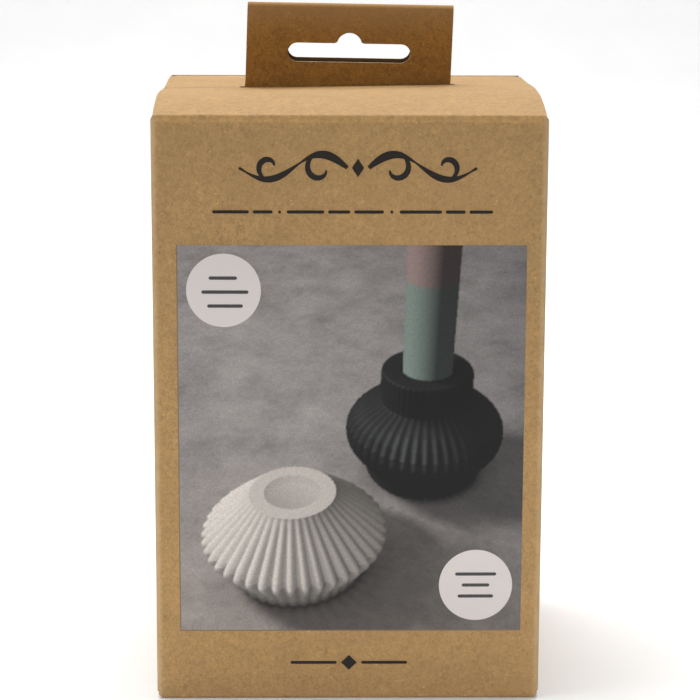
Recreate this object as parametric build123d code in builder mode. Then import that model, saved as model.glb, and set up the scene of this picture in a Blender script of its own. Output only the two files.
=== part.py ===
from build123d import *
import math
import os

os.makedirs("parts", exist_ok=True)

# Folding carton with a hanging tab, holding two silicone moulds for fluted candle holders.
# Millimetres, origin at the middle of the carton's footprint, front towards -Y, +Z up.

# carton
width = 97.0  # outer, left to right
depth = 88.0  # outer, front to back
height = 149.0  # lid's outer face at its front crease
board = 0.6  # board thickness
corner = 1.2  # outer radius of the upright creases
slip = 0.02  # gap left at a crease between two boards
lid_inset = 0.6  # lid is narrower than the front on each side
lid_back = depth / 2 - 0.7  # lid's rear crease, just inside the back panel

# lid's bow, as (distance from the middle, rise)
bow = [(-38.0, 1.5), (-32.0, 2.45), (-22.0, 3.2), (-11.0, 3.1), (2.0, 2.35), (27.0, 1.1)]

# flaps
tuck_length = 14.0
tuck_lean = 10.0  # degrees towards the inside
tuck_half = 46.6
tuck_start = 0.78
dust_length = 15.0
dust_front = -42.2
dust_front_tip = -32.0
dust_rear = 41.0
dust_rear_tip = 38.5
glue_width = 14.0

# hanging card
hang_y = 9.5  # middle of the slot in the lid
hang_half = 26.85
hang_top = 171.6
card = 0.5
card_gap = 1.4  # between its two leaves
slot_half = 28.2
slot_depth = 3.4
foot_length = 9.0
foot_top = height + 0.35
euro_half = 16.0
euro_z = 158.8
euro_height = 4.9
euro_bump = 3.3
euro_bump_top = 164.0

# bottom closure
inner_flap_edge = -30.0
side_flap_length = 30.0

# moulds
low_ribs = 42
low_floor = 5.0
low_height = 33.0  # of the holder that it casts
low_outer_bottom = 38.0
low_outer_top = 42.4
tall_ribs = 46
tall_floor = 5.0
tall_height = 52.6
tall_outer_bottom = 38.4
tall_outer_top = 41.6
post = 11.0  # radius of the post that leaves the candle's socket
post_top = 10.6
low_post = 15.0
tall_post = 20.0
rest_gap = 0.04

hw, hd = width / 2, depth / 2
z_front = board + slip
z_back = 2 * (board + slip)
z_side = 3 * (board + slip)
front_top = height - board - slip
side_top = height - 2 * (board + slip)


def wall_ring(bottom, top):
    with BuildPart(mode=Mode.PRIVATE) as ring:
        with BuildSketch(Plane.XY.offset(bottom)):
            RectangleRounded(width, depth, corner)
            RectangleRounded(width - 2 * board, depth - 2 * board, corner - board, mode=Mode.SUBTRACT)
        extrude(amount=top - bottom)
    return ring.part


def wedge(points, bottom, top):
    with BuildPart(mode=Mode.PRIVATE) as block:
        with BuildSketch(Plane.XY.offset(bottom)):
            with BuildLine():
                Polyline(*points, close=True)
            make_face()
        extrude(amount=top - bottom)
    return block.part


far = 60.0
cut_x, cut_y = hw - corner, hd - corner
front_wedge = [(-cut_x - far, -cut_y - far), (cut_x + far, -cut_y - far), (cut_x, -cut_y), (cut_x - 5, 0), (-cut_x + 5, 0), (-cut_x, -cut_y)]
back_wedge = [(x, -y) for x, y in front_wedge]
left_wedge = [(-cut_x - far, -cut_y - far), (-cut_x, -cut_y), (-20, 0), (-cut_x, cut_y), (-cut_x - far, cut_y + far)]
right_wedge = [(-x, y) for x, y in left_wedge]

# upright panels
with BuildPart() as front_panel:
    add(wall_ring(z_front, front_top))
    add(wedge([(-cut_x - far, -cut_y - far), (cut_x + far, -cut_y - far), (cut_x, -cut_y), (-cut_x, -cut_y)], 0, 200), mode=Mode.INTERSECT)
with BuildPart() as back_panel:
    add(wall_ring(z_back, height))
    add(wedge([(-cut_x - far, cut_y + far), (cut_x + far, cut_y + far), (cut_x, cut_y), (-cut_x, cut_y)], 0, 200), mode=Mode.INTERSECT)
with BuildPart() as left_side_panel:
    add(wall_ring(z_side, side_top))
    add(wedge([(-cut_x - far, -cut_y - far), (-cut_x, -cut_y), (-cut_x, cut_y), (-cut_x - far, cut_y + far)], 0, 200), mode=Mode.INTERSECT)
with BuildPart() as right_side_panel:
    add(wall_ring(z_side, side_top))
    add(wedge([(cut_x + far, -cut_y - far), (cut_x, -cut_y), (cut_x, cut_y), (cut_x + far, cut_y + far)], 0, 200), mode=Mode.INTERSECT)

# glue flap inside the left side, carried round from the back panel
with BuildPart() as glue_flap:
    with BuildSketch(Plane.YZ.offset(-hw + board)):
        with BuildLine():
            Polyline(
                (hd - board - 0.6, z_side + 3),
                (hd - board - 0.6, side_top - 4),
                (hd - board - glue_width, side_top - 12),
                (hd - board - glue_width, z_side + 10),
                close=True,
            )
        make_face()
    extrude(amount=board)

# glued bottom: outer and inner panels, then the two side flaps
with BuildPart() as bottom_outer_panel:
    with BuildSketch():
        with Locations((0, -0.4)):
            RectangleRounded(width, depth - 0.8, corner)
    extrude(amount=board)
with BuildPart() as bottom_inner_panel:
    with BuildSketch(Plane.XY.offset(board + slip)):
        with BuildLine():
            Polyline(
                (-hw + 1.3, hd - 1.3),
                (-hw + 0.6, inner_flap_edge + 14),
                (-hw + 6, inner_flap_edge),
                (hw - 6, inner_flap_edge),
                (hw - 0.6, inner_flap_edge + 14),
                (hw - 1.3, hd - 1.3),
                (hw - 2.4, hd),
                (-hw + 2.4, hd),
                close=True,
            )
        make_face()
    extrude(amount=board)
with BuildPart() as bottom_left_flap:
    with BuildSketch(Plane.XY.offset(2 * (board + slip))):
        with BuildLine():
            Polyline(
                (-hw, -hd + 1.6),
                (-hw + side_flap_length, -hd + 12),
                (-hw + side_flap_length, hd - 12),
                (-hw, hd - 1.6),
                close=True,
            )
        make_face()
    extrude(amount=board)
with BuildPart() as bottom_right_flap:
    with BuildSketch(Plane.XY.offset(2 * (board + slip))):
        with BuildLine():
            Polyline(
                (hw, -hd + 1.6),
                (hw - side_flap_length, -hd + 12),
                (hw - side_flap_length, hd - 12),
                (hw, hd - 1.6),
                close=True,
            )
        make_face()
    extrude(amount=board)

# lid: one bowed board with the slot for the hanging card
top_points = [(-hd, height)] + [(y, height + rise) for y, rise in bow] + [(lid_back, height)]
under_points = [(y, z - board) for y, z in top_points]
with BuildPart() as lid_panel:
    with BuildSketch(Plane.YZ.offset(-hw + lid_inset)):
        with BuildLine():
            Spline(*top_points)
            Line(top_points[-1], under_points[-1])
            Spline(*reversed(under_points))
            Line(under_points[0], top_points[0])
        make_face()
    extrude(amount=width - 2 * lid_inset)
    with BuildSketch(Plane.XY.offset(height - 5)):
        with Locations((0, hang_y)):
            RectangleRounded(2 * slot_half, slot_depth, 1.0)
    extrude(amount=12, mode=Mode.SUBTRACT)
    # trimmed rear corners
    with BuildSketch(Plane.XY.offset(height - 5)):
        for side in (-1, 1):
            x_edge = side * (hw - lid_inset)
            with BuildLine():
                Polyline((x_edge, lid_back - 3.0), (x_edge + side, lid_back - 3.0), (x_edge + side, lid_back + 1), (x_edge - side * 1.8, lid_back + 1), (x_edge - side * 1.8, lid_back), close=True)
            make_face()
    extrude(amount=12, mode=Mode.SUBTRACT)

# tuck flap, leaning inwards from the lid's rear crease
lean = math.radians(tuck_lean)
tuck_plane = Plane(origin=(0, lid_back, height), x_dir=(1, 0, 0), z_dir=(0, -math.cos(lean), math.sin(lean)))
with BuildPart() as lid_tuck_flap:
    with BuildSketch(tuck_plane):
        with BuildLine():
            Polyline(
                (-tuck_half, -tuck_start),
                (-tuck_half, -tuck_length + 7),
                (-tuck_half + 7, -tuck_length),
                (tuck_half - 7, -tuck_length),
                (tuck_half, -tuck_length + 7),
                (tuck_half, -tuck_start),
                close=True,
            )
        make_face()
    extrude(amount=board)

# dust flaps under the lid
with BuildPart() as left_dust_flap:
    with BuildSketch(Plane.XY.offset(side_top + slip)):
        with BuildLine():
            Polyline(
                (-hw, dust_front),
                (-hw + dust_length, dust_front_tip),
                (-hw + dust_length, dust_rear_tip),
                (-hw, dust_rear),
                close=True,
            )
        make_face()
    extrude(amount=board)
with BuildPart() as right_dust_flap:
    with BuildSketch(Plane.XY.offset(side_top + slip)):
        with BuildLine():
            Polyline(
                (hw, dust_front),
                (hw - dust_length, dust_front_tip),
                (hw - dust_length, dust_rear_tip),
                (hw, dust_rear),
                close=True,
            )
        make_face()
    extrude(amount=board)

# hanging card, folded over at the top: two leaves and two feet
fold_outer = card_gap / 2 + card
fold_z = hang_top - fold_outer


def leaf(side):
    # side -1 is the front leaf, 1 the rear one
    with BuildPart(mode=Mode.PRIVATE) as made:
        with BuildSketch(Plane.YZ.offset(-hang_half)):
            with BuildLine():
                outer_foot = (hang_y + side * fold_outer, foot_top)
                outer_top = (hang_y + side * fold_outer, fold_z)
                crown = (hang_y, hang_top)
                inner_crown = (hang_y, hang_top - card)
                inner_top = (hang_y + side * card_gap / 2, fold_z)
                inner_foot = (hang_y + side * card_gap / 2, foot_top)
                Line(outer_foot, outer_top)
                RadiusArc(outer_top, crown, fold_outer if side < 0 else -fold_outer)
                Line(crown, inner_crown)
                RadiusArc(inner_crown, inner_top, -card_gap / 2 if side < 0 else card_gap / 2)
                Line(inner_top, inner_foot)
                Line(inner_foot, outer_foot)
            make_face()
        extrude(amount=2 * hang_half)
        # trimmed top corners
        with BuildSketch(Plane.XZ.offset(-hang_y - 5)):
            with Locations((0, euro_z)):
                SlotOverall(2 * euro_half, euro_height)
            with BuildLine():
                l1 = Line((-euro_bump, euro_z), (-euro_bump, euro_bump_top - euro_bump + 0.8))
                l2 = ThreePointArc((-euro_bump, euro_bump_top - euro_bump + 0.8), (0, euro_bump_top), (euro_bump, euro_bump_top - euro_bump + 0.8))
                l3 = Line((euro_bump, euro_bump_top - euro_bump + 0.8), (euro_bump, euro_z))
                l4 = Line((euro_bump, euro_z), (-euro_bump, euro_z))
            make_face()
        extrude(amount=10, mode=Mode.SUBTRACT)
    return made.part


with BuildPart() as hang_front_leaf:
    add(leaf(-1))
with BuildPart() as hang_rear_leaf:
    add(leaf(1))
with BuildPart() as hang_front_foot:
    with BuildSketch(Plane.XY.offset(foot_top - card)):
        with BuildLine():
            Polyline(
                (-hang_half, hang_y - card_gap / 2),
                (-hang_half, hang_y - card_gap / 2 - 3),
                (-hang_half - 5, hang_y - card_gap / 2 - 5),
                (-hang_half - 5, hang_y - foot_length),
                (hang_half + 5, hang_y - foot_length),
                (hang_half + 5, hang_y - card_gap / 2 - 5),
                (hang_half, hang_y - card_gap / 2 - 3),
                (hang_half, hang_y - card_gap / 2),
                close=True,
            )
        make_face()
    extrude(amount=card - slip)
with BuildPart() as hang_rear_foot:
    with BuildSketch(Plane.XY.offset(foot_top - card)):
        with BuildLine():
            Polyline(
                (-hang_half, hang_y + card_gap / 2),
                (-hang_half, hang_y + card_gap / 2 + 3),
                (-hang_half - 5, hang_y + card_gap / 2 + 5),
                (-hang_half - 5, hang_y + foot_length),
                (hang_half + 5, hang_y + foot_length),
                (hang_half + 5, hang_y + card_gap / 2 + 5),
                (hang_half, hang_y + card_gap / 2 + 3),
                (hang_half, hang_y + card_gap / 2),
                close=True,
            )
        make_face()
    extrude(amount=card - slip)


# silicone moulds: a tapered body round the holder's shape, upside down, mouth upwards
def star(radius_out, radius_in, ribs):
    points = []
    for i in range(2 * ribs):
        r = radius_out if i % 2 == 0 else radius_in
        a = math.pi * i / ribs
        points.append((r * math.cos(a), r * math.sin(a)))
    return points


def holder_shape(base, sections, ribs):
    # sections: (height above base, rib crest radius, rib valley radius)
    with BuildPart(mode=Mode.PRIVATE) as made:
        for h, crest, valley in sections:
            with BuildSketch(Plane.XY.offset(base + h)):
                with BuildLine():
                    Polyline(*star(crest, valley, ribs), close=True)
                make_face()
        loft(ruled=True)
    return made.part


low_base = z_side + rest_gap
low_cavity = holder_shape(
    low_base + low_floor,
    [(0, 17.1, 16.8), (3, 20.8, 19.6), (9, 28.2, 26.3), (15.5, 35.6, 33.2), (18.2, 37.2, 34.7), (20, 36.6, 34.2), (23, 34.2, 32.5), (27, 31.2, 30.0), (31, 29.3, 28.6), (low_height + 0.01, 28.8, 28.3)],
    low_ribs,
)
with BuildPart() as low_holder_mould:
    with BuildSketch(Plane.XZ):
        with BuildLine():
            b, t = low_base, low_base + low_floor + low_height
            Polyline(
                (0, b),
                (low_outer_bottom - 1.5, b),
                (low_outer_bottom, b + 1.5),
                (low_outer_top - 1.0, t - 4.5),
                (low_outer_top, t - 3.5),
                (low_outer_top, t - 0.8),
                (low_outer_top - 0.8, t),
                (0, t),
                close=True,
            )
        make_face()
    revolve(axis=Axis.Z)
    add(low_cavity, mode=Mode.SUBTRACT)
    with BuildSketch(Plane.XY.offset(low_base + low_floor - 0.5)):
        Circle(post)
    with BuildSketch(Plane.XY.offset(low_base + low_floor + low_post)):
        Circle(post_top)
    loft()

tall_base = low_base + low_floor + low_height + rest_gap
tall_cavity = holder_shape(
    tall_base + tall_floor,
    [(0, 20.6, 20.1), (13.6, 20.9, 20.3), (15.6, 23.4, 22.5), (18.6, 29.2, 27.8), (22.6, 33.8, 32.0), (27, 36.3, 34.3), (31, 36.7, 34.7), (35, 35.6, 33.9), (39, 32.8, 31.5), (43, 29.9, 29.1), (48, 27.2, 26.6), (tall_height + 0.01, 24.4, 24.0)],
    tall_ribs,
)
with BuildPart() as tall_holder_mould:
    with BuildSketch(Plane.XZ):
        with BuildLine():
            b, t = tall_base, tall_base + tall_floor + tall_height
            Polyline(
                (0, b),
                (tall_outer_bottom - 1.5, b),
                (tall_outer_bottom, b + 1.5),
                (tall_outer_top - 1.0, t - 4.5),
                (tall_outer_top, t - 3.5),
                (tall_outer_top, t - 0.8),
                (tall_outer_top - 0.8, t),
                (0, t),
                close=True,
            )
        make_face()
    revolve(axis=Axis.Z)
    add(tall_cavity, mode=Mode.SUBTRACT)
    with BuildSketch(Plane.XY.offset(tall_base + tall_floor - 0.5)):
        Circle(post)
    with BuildSketch(Plane.XY.offset(tall_base + tall_floor + tall_post)):
        Circle(post_top)
    loft()

front_panel.part.label = "front_panel"
export_step(front_panel.part, "parts/front_panel.step")
back_panel.part.label = "back_panel"
export_step(back_panel.part, "parts/back_panel.step")
left_side_panel.part.label = "left_side_panel"
export_step(left_side_panel.part, "parts/left_side_panel.step")
right_side_panel.part.label = "right_side_panel"
export_step(right_side_panel.part, "parts/right_side_panel.step")
glue_flap.part.label = "glue_flap"
export_step(glue_flap.part, "parts/glue_flap.step")
bottom_outer_panel.part.label = "bottom_outer_panel"
export_step(bottom_outer_panel.part, "parts/bottom_outer_panel.step")
bottom_inner_panel.part.label = "bottom_inner_panel"
export_step(bottom_inner_panel.part, "parts/bottom_inner_panel.step")
bottom_left_flap.part.label = "bottom_left_flap"
export_step(bottom_left_flap.part, "parts/bottom_left_flap.step")
bottom_right_flap.part.label = "bottom_right_flap"
export_step(bottom_right_flap.part, "parts/bottom_right_flap.step")
lid_panel.part.label = "lid_panel"
export_step(lid_panel.part, "parts/lid_panel.step")
lid_tuck_flap.part.label = "lid_tuck_flap"
export_step(lid_tuck_flap.part, "parts/lid_tuck_flap.step")
left_dust_flap.part.label = "left_dust_flap"
export_step(left_dust_flap.part, "parts/left_dust_flap.step")
right_dust_flap.part.label = "right_dust_flap"
export_step(right_dust_flap.part, "parts/right_dust_flap.step")
hang_front_leaf.part.label = "hang_front_leaf"
export_step(hang_front_leaf.part, "parts/hang_front_leaf.step")
hang_rear_leaf.part.label = "hang_rear_leaf"
export_step(hang_rear_leaf.part, "parts/hang_rear_leaf.step")
hang_front_foot.part.label = "hang_front_foot"
export_step(hang_front_foot.part, "parts/hang_front_foot.step")
hang_rear_foot.part.label = "hang_rear_foot"
export_step(hang_rear_foot.part, "parts/hang_rear_foot.step")
low_holder_mould.part.label = "low_holder_mould"
export_step(low_holder_mould.part, "parts/low_holder_mould.step")
tall_holder_mould.part.label = "tall_holder_mould"
export_step(tall_holder_mould.part, "parts/tall_holder_mould.step")
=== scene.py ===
import math

import bmesh
import bpy
import numpy as np
from mathutils import Matrix, Vector

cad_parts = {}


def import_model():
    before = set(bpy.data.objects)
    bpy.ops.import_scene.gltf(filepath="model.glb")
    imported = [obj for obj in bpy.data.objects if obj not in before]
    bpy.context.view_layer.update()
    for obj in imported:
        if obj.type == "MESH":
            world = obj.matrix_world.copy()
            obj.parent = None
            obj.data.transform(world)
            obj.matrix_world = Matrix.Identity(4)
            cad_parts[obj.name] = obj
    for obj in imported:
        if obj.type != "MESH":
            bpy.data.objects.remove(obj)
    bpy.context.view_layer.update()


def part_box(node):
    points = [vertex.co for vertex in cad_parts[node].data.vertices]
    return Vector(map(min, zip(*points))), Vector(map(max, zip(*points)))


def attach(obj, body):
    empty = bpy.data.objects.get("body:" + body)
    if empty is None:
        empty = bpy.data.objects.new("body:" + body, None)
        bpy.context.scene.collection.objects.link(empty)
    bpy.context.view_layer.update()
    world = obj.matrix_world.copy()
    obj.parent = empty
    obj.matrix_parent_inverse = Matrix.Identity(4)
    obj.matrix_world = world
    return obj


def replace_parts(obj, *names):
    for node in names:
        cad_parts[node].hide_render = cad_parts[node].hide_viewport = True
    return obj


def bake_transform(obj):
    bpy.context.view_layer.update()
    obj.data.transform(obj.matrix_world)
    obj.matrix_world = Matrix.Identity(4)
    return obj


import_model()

MM = 0.001
rng = np.random.default_rng(7)

# ---------------------------------------------------------------- sizes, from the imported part
outer_lo, outer_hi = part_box("bottom_outer_panel")
back_lo, back_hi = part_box("back_panel")
lid_lo, lid_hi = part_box("lid_panel")
leaf_lo, leaf_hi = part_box("hang_front_leaf")
rear_lo, rear_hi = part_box("hang_rear_leaf")
foot_lo, foot_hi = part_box("hang_front_foot")
rfoot_lo, rfoot_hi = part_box("hang_rear_foot")
dust_lo, dust_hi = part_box("left_dust_flap")
inner_lo, inner_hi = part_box("bottom_inner_panel")
sflap_lo, sflap_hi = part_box("bottom_left_flap")
tuck_lo, tuck_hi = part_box("lid_tuck_flap")
glue_lo, glue_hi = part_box("glue_flap")

hw = outer_hi.x / MM  # half width, mm
hd = back_hi.y / MM  # half depth
H = back_hi.z / MM  # lid's front crease
T = 0.6
R = 1.2
LW = lid_hi.x / MM  # lid's half width
LB = lid_hi.y / MM  # lid's rear crease
CARD = 0.5
HY = (leaf_lo.y + rear_hi.y) / 2 / MM
HW = leaf_hi.x / MM
HTOP = leaf_hi.z / MM
FOOT = foot_hi.z / MM


def pchip(xs, ys):
    xs, ys = np.array(xs, float), np.array(ys, float)
    h, d = np.diff(xs), np.diff(ys) / np.diff(xs)
    m = np.zeros_like(ys)
    for i in range(1, len(xs) - 1):
        if d[i - 1] * d[i] > 0:
            w1, w2 = 2 * h[i] + h[i - 1], h[i] + 2 * h[i - 1]
            m[i] = (w1 + w2) / (w1 / d[i - 1] + w2 / d[i])
    m[0], m[-1] = d[0], d[-1]

    def f(x):
        x = np.clip(np.asarray(x, float), xs[0], xs[-1])
        i = np.clip(np.searchsorted(xs, x, side="right") - 1, 0, len(xs) - 2)
        t = (x - xs[i]) / h[i]
        return (
            (2 * t**3 - 3 * t**2 + 1) * ys[i]
            + (t**3 - 2 * t**2 + t) * h[i] * m[i]
            + (-2 * t**3 + 3 * t**2) * ys[i + 1]
            + (t**3 - t**2) * h[i] * m[i + 1]
        )

    return f


# lid's bow at its left and right edges, mm above its front crease
bow_y = [-44.0, -38.0, -32.0, -22.0, -11.0, 2.0, 15.0, 27.0, 36.0, 41.4, 43.3]
bow_left = pchip(bow_y, [0, 1.1, 1.9, 2.45, 2.0, 0.92, 0.42, 0.48, 0.3, 0.0, 0.0])
bow_right = pchip(bow_y, [0, 1.0, 1.8, 2.6, 2.6, 2.05, 1.25, 0.7, 0.35, 0.0, 0.0])


def bow(x, y):
    t = np.clip((np.asarray(x, float) + LW) / (2 * LW), 0, 1)
    t = t * t * (3 - 2 * t)
    z = bow_left(y) * (1 - t) + bow_right(y) * t
    # weak creases that run out from the slot's ends
    for side, y_slot, y_edge, deep in ((-1, HY + 0.6, HY - 3.6, 0.24), (1, HY + 0.4, HY + 2.0, 0.15)):
        u = np.clip((side * x - 27.5) / (LW - 27.5), 0, 1)
        line = y_slot + (y_edge - y_slot) * u
        on = 1 / (1 + np.exp(-(side * x - 28.5) * 1.6))
        z = z - deep * on * np.exp(-(((y - line) / 0.85) ** 2)) + 0.22 * on * deep / 0.34 * np.exp(-(((y - line + 3.2) / 2.6) ** 2))
    return z


def bulge(x, z):
    # how far the front stands out from flat
    return 0.28 * np.clip(1 - (x / (hw - R)) ** 2, 0, 1) * np.clip(1 - ((z - H / 2) / (H / 2)) ** 2, 0, 1)


# ---------------------------------------------------------------- materials
def srgb(r, g, b):
    c = np.array([r, g, b]) / 255.0
    return tuple(np.where(c <= 0.04045, c / 12.92, ((c + 0.055) / 1.055) ** 2.4))


class Nodes:
    def __init__(self, name):
        self.mat = bpy.data.materials.new(name)
        self.mat.use_nodes = True
        self.t = self.mat.node_tree
        self.p = self.t.nodes["Principled BSDF"]
        self.co = self.t.nodes.new("ShaderNodeTexCoord")

    def new(self, kind, **values):
        n = self.t.nodes.new(kind)
        for k, v in values.items():
            setattr(n, k, v)
        return n

    def link(self, a, b):
        self.t.links.new(a, b)

    def mapped(self, scale, rotation=(0, 0, 0)):
        m = self.new("ShaderNodeMapping")
        m.inputs["Scale"].default_value = scale
        m.inputs["Rotation"].default_value = rotation
        self.link(self.co.outputs["Object"], m.inputs["Vector"])
        return m.outputs["Vector"]

    def noise(self, vector, scale, detail=4.0, rough=0.55):
        n = self.new("ShaderNodeTexNoise")
        n.inputs["Scale"].default_value = scale
        n.inputs["Detail"].default_value = detail
        n.inputs["Roughness"].default_value = rough
        self.link(vector, n.inputs["Vector"])
        return n.outputs["Fac"]

    def remap(self, value, a, b, c, d, smooth=False):
        n = self.new("ShaderNodeMapRange", interpolation_type="SMOOTHSTEP" if smooth else "LINEAR")
        n.clamp = True
        for i, v in zip((1, 2, 3, 4), (a, b, c, d)):
            n.inputs[i].default_value = v
        self.link(value, n.inputs[0])
        return n.outputs[0]

    def math(self, op, a, b=None):
        n = self.new("ShaderNodeMath", operation=op)
        for i, v in enumerate((a, b)):
            if v is None:
                continue
            if isinstance(v, (int, float)):
                n.inputs[i].default_value = v
            else:
                self.link(v, n.inputs[i])
        return n.outputs[0]

    def mix(self, fac, a, b, mode="MIX"):
        n = self.new("ShaderNodeMix", data_type="RGBA", blend_type=mode)
        n.clamp_factor = True
        for i, v in zip((0, 6, 7), (fac, a, b)):
            if isinstance(v, (int, float)):
                n.inputs[i].default_value = v
            elif isinstance(v, tuple):
                n.inputs[i].default_value = (*v, 1.0)
            else:
                self.link(v, n.inputs[i])
        return n.outputs[2]

    def bump(self, height, strength, distance, normal=None):
        n = self.new("ShaderNodeBump")
        n.inputs["Strength"].default_value = strength
        n.inputs["Distance"].default_value = distance
        self.link(height, n.inputs["Height"])
        if normal is not None:
            self.link(normal, n.inputs["Normal"])
        return n.outputs["Normal"]


def kraft(name, base, spread=1.0, painted_light_and_wear=0.0, edge_light=None, fleck=0.5, painted_top_highlight=None):
    """Uncoated kraft board: felted fibres, blotches, dark and light flecks, and optional painted light: paler upright
    corners (a painted highlight with some wear), a painted highlight on the fold below the lid's front crease, a
    painted shade line across the lid, and a paler painted highlight towards the top of the dark card.
    """
    m = Nodes(name)
    obj = m.co.outputs["Object"]

    def felt(scale, detail, rough, distort):
        n = m.new("ShaderNodeTexNoise")
        for k, v in (("Scale", scale), ("Detail", detail), ("Roughness", rough), ("Distortion", distort)):
            n.inputs[k].default_value = v
        m.link(obj, n.inputs["Vector"])
        return n.outputs["Fac"]

    felt_a = felt(640.0, 5.0, 0.75, 1.1)
    felt_b = felt(1500.0, 3.0, 0.65, 1.6)
    cloud = m.noise(obj, 150.0, 4.0, 0.62)
    broad = m.noise(obj, 26.0, 2.0, 0.5)
    f = m.math("ADD", m.math("MULTIPLY", felt_a, 0.55), m.math("MULTIPLY", felt_b, 0.45))
    f = m.remap(f, 0.36, 0.64, 0.0, 1.0)
    dark = tuple(c * (1 - 0.34 * spread) for c in base)
    light = tuple(min(1.0, c * (1 + 0.36 * spread)) for c in base)
    colour = m.mix(f, dark, light)
    colour = m.mix(m.remap(cloud, 0.34, 0.66, 0.0, 0.34), colour, tuple(c * 0.70 for c in base))
    colour = m.mix(m.remap(broad, 0.35, 0.65, 0.0, 0.16), colour, tuple(min(1.0, c * 1.22) for c in base))

    # single fibres: thin bent lines, broken up
    def fibres(scale, width, lo, hi, mask_scale):
        ridge = m.math("ABSOLUTE", m.math("SUBTRACT", felt(scale, 0.0, 0.5, 2.2), 0.5))
        line = m.remap(ridge, 0.0, width, 1.0, 0.0)
        return m.math("MULTIPLY", line, m.remap(m.noise(obj, mask_scale, 1.0), lo, hi, 0.0, 1.0))

    pale_line = m.math("MULTIPLY", fibres(420.0, 0.016, 0.53, 0.60, 900.0), 0.55 * fleck)
    dark_line = m.math("MULTIPLY", fibres(510.0, 0.014, 0.56, 0.62, 1100.0), 0.60 * fleck)
    colour = m.mix(pale_line, colour, tuple(min(1.0, c * 1.7) for c in base))
    colour = m.mix(dark_line, colour, tuple(c * 0.45 for c in base))
    # flecks: short and round, dark and pale
    v = m.new("ShaderNodeTexVoronoi", feature="F1")
    v.inputs["Scale"].default_value = 620.0
    m.link(obj, v.inputs["Vector"])
    spot = m.remap(v.outputs["Distance"], 0.08, 0.24, 1.0, 0.0)
    pick = m.noise(obj, 330.0, 1.0)
    dark_spot = m.math("MULTIPLY", spot, m.remap(pick, 0.58, 0.66, 0.0, fleck))
    pale_spot = m.math("MULTIPLY", spot, m.remap(pick, 0.41, 0.34, 0.0, fleck * 0.9))
    colour = m.mix(dark_spot, colour, tuple(c * 0.42 for c in base))
    colour = m.mix(pale_spot, colour, tuple(min(1.0, c * 1.8) for c in base))
    if painted_top_highlight:
        # painted highlight: the card is painted lighter and greyer towards its fold, as light and sheen on its upper
        # part
        h = m.new("ShaderNodeSeparateXYZ")
        m.link(obj, h.inputs[0])
        up = m.remap(m.math("ADD", h.outputs["Z"], m.math("MULTIPLY", m.math("SUBTRACT", broad, 0.5), 0.010)), 0.1600, 0.1705, 0.0, 0.55, True)
        colour = m.mix(up, colour, painted_top_highlight)
    if painted_light_and_wear:
        xyz = m.new("ShaderNodeSeparateXYZ")
        m.link(obj, xyz.inputs[0])
        ax = m.math("ABSOLUTE", xyz.outputs["X"])
        ay = m.math("ABSOLUTE", xyz.outputs["Y"])
        rough_edge = m.math("MULTIPLY", m.math("SUBTRACT", m.noise(obj, 700.0, 3.0), 0.5), 0.0012)
        # the rounded upright corners are painted paler: a painted highlight, with some wear
        cx = m.remap(m.math("ADD", ax, rough_edge), (hw - 1.9) * MM, (hw - 0.7) * MM, 0.0, 1.0, True)
        cy = m.remap(m.math("ADD", ay, rough_edge), (hd - 1.35) * MM, (hd - 0.75) * MM, 0.0, 1.0, True)
        both = m.math("MULTIPLY", cx, cy)
        patch = m.remap(m.noise(obj, 240.0, 3.0), 0.3, 0.6, 0.55, 1.0)
        both = m.math("MULTIPLY", m.math("MULTIPLY", both, patch), painted_light_and_wear)
        # painted highlight: a paler band on the fold just below the lid's front crease, where the top light catches it
        up = m.remap(m.math("ADD", xyz.outputs["Z"], m.math("MULTIPLY", rough_edge, 0.8)), (H - 2.1) * MM, (H - 1.3) * MM, 0.0, 1.0, True)
        low = m.remap(xyz.outputs["Z"], (H - 0.12) * MM, (H + 0.1) * MM, 1.0, 0.0)
        ahead = m.remap(xyz.outputs["Y"], (-hd + 1.2) * MM, (-hd + 1.8) * MM, 1.0, 0.0)
        band = m.math("MULTIPLY", m.math("MULTIPLY", up, low), ahead)
        pale = m.remap(m.noise(obj, 900.0, 3.0, 0.7), 0.40, 0.66, 0.14, 0.52)
        # painted shade: a darker line is painted along the pressed crease that runs from the slot to the left edge of
        # the lid
        on_top = m.remap(xyz.outputs["Z"], (H - 1.4) * MM, (H - 0.7) * MM, 0.0, 1.0)
        off = m.math("SUBTRACT", xyz.outputs["Y"], m.math("MULTIPLY", xyz.outputs["X"], 0.205))
        before = m.remap(off, (HY + 4.9) * MM, (HY + 5.8) * MM, 0.0, 1.0, True)
        behind = m.remap(off, (HY + 7.6) * MM, (HY + 9.2) * MM, 1.0, 0.0, True)
        left = m.remap(xyz.outputs["X"], -29.6 * MM, -28.0 * MM, 1.0, 0.0)
        line = m.math("MULTIPLY", m.math("MULTIPLY", before, behind), m.math("MULTIPLY", on_top, left))
        colour = m.mix(m.math("MULTIPLY", line, 0.58), colour, tuple(c * 0.45 for c in base))
        colour = m.mix(m.math("MULTIPLY", band, pale), colour, tuple(min(1.0, c * 1.75) for c in base))
        colour = m.mix(both, colour, edge_light or tuple(min(1.0, c * 1.5) for c in base))
    m.link(colour, m.p.inputs["Base Color"])
    m.link(m.remap(f, 0.0, 1.0, 0.70, 0.88), m.p.inputs["Roughness"])
    m.p.inputs["Specular IOR Level"].default_value = 0.30
    m.p.inputs["Sheen Weight"].default_value = 0.04
    m.p.inputs["Sheen Roughness"].default_value = 0.5
    n1 = m.bump(cloud, 0.10, 0.0004)
    n2 = m.bump(f, 0.40, 0.00008, n1)
    m.link(n2, m.p.inputs["Normal"])
    return m.mat


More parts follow.
